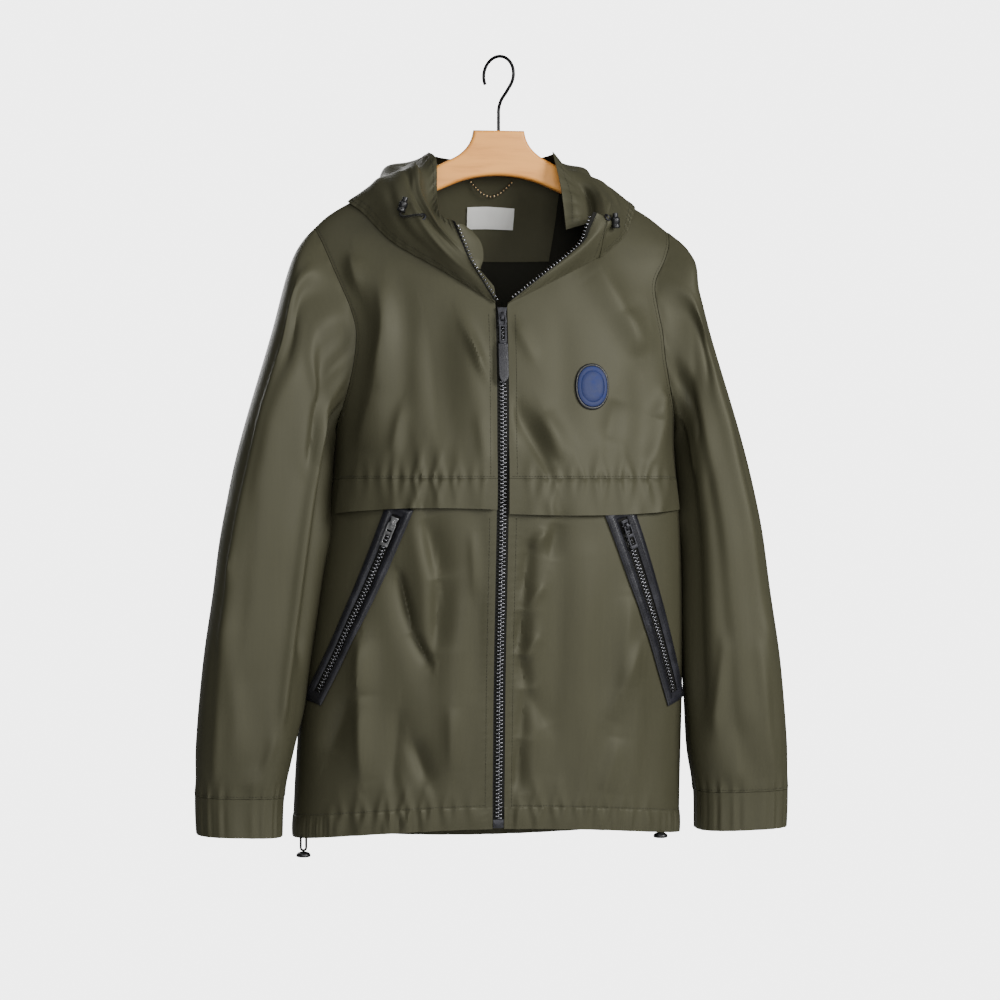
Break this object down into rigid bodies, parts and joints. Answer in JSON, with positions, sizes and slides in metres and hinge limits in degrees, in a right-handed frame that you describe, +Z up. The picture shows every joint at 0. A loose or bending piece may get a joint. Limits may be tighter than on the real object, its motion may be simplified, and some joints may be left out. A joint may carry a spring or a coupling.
{
  "type": "hooded windbreaker on a wooden hanger",
  "caption": "Hooded olive windbreaker with a front zip, gathered yoke flaps, zipped pockets, elastic cuffs and drawcord hem, hung on a contoured wooden hanger with a wire hook.",
  "frame": {"origin": "inside top of the hanger's hook, where the rail carries it", "axes": "+Z up, the front of the garment faces -Y, +X is towards the wearer's left"},
  "size_m": [0.6632, 0.258, 0.8903],
  "materials": {
    "nylon": "soft sheen",
    "leather": "satin",
    "zip_tape": "matte",
    "gunmetal": "dark",
    "steel": "satin",
    "label": "matte",
    "badge": "satin",
    "plastic": "satin",
    "cord": "matte",
    "wood": "clear lacquer",
    "black_wire": "satin"
  },
  "bodies": {
    "jacket": {"back": "nylon", "badge_base": "plastic", "badge_face": "badge", "chin_guard": "nylon", "collar_left": "nylon", "cuff_left": "nylon", "cuff_right": "nylon", "front_left": "nylon", "front_right": "nylon", "hang_loop": "gunmetal", "hanger_hook": "black_wire", "hanger_wood": "wood", "hem_back": "nylon", "hem_cord_right": "cord", "hem_front_left": "nylon", "hem_front_right": "nylon", "hem_toggle_left": "plastic", "hem_toggle_right": "plastic", "hood_cord_right": "cord", "hood_eyelet_left": "gunmetal", "hood_eyelet_right": "gunmetal", "hood_left": "nylon", "hood_middle": "nylon", "hood_right": "nylon", "hood_toggle_left": "plastic", "hood_toggle_right": "plastic", "label": "label", "neck_facing": "nylon", "pocket_left_bridge": "gunmetal", "pocket_left_slider": "gunmetal", "pocket_right_bridge": "steel", "pocket_right_slider": "steel", "pocket_welt_left": "leather", "pocket_welt_right": "leather", "pocket_zip_left": "zip_tape", "pocket_zip_right": "zip_tape", "sleeve_left": "nylon", "sleeve_right": "nylon", "yoke_flap_left": "nylon", "yoke_flap_right": "nylon", "yoke_left": "nylon", "yoke_right": "nylon", "zip_bridge": "gunmetal", "zip_end_left": "gunmetal", "zip_end_right": "gunmetal", "zip_slider": "gunmetal", "zip_stop": "gunmetal", "zip_tape_left": "zip_tape", "zip_tape_right": "zip_tape", "zip_teeth": "gunmetal"},
    "main_pull": {"zip_pull": "gunmetal", "zip_tab": "leather"},
    "right_pull": {"pocket_pull_right": "steel"},
    "left_pull": {"pocket_pull_left": "gunmetal"}
  },
  "joints": [
    {"name": "main_pull_hinge", "type": "hinge", "parent": "jacket", "child": "main_pull", "pos_m": [-0.008, -0.08708, -0.29486], "axis": [-1, 0.001, 0.0048], "range_deg": [0, 150]},
    {"name": "right_pull_hinge", "type": "hinge", "parent": "jacket", "child": "right_pull", "pos_m": [-0.12971, -0.09759, -0.52075], "axis": [-0.8652, 0.3262, 0.3807], "range_deg": [0, 110]},
    {"name": "left_pull_hinge", "type": "hinge", "parent": "jacket", "child": "left_pull", "pos_m": [0.12842, -0.09797, -0.52378], "axis": [-0.8771, -0.32, -0.3583], "range_deg": [0, 110]}
  ]
}
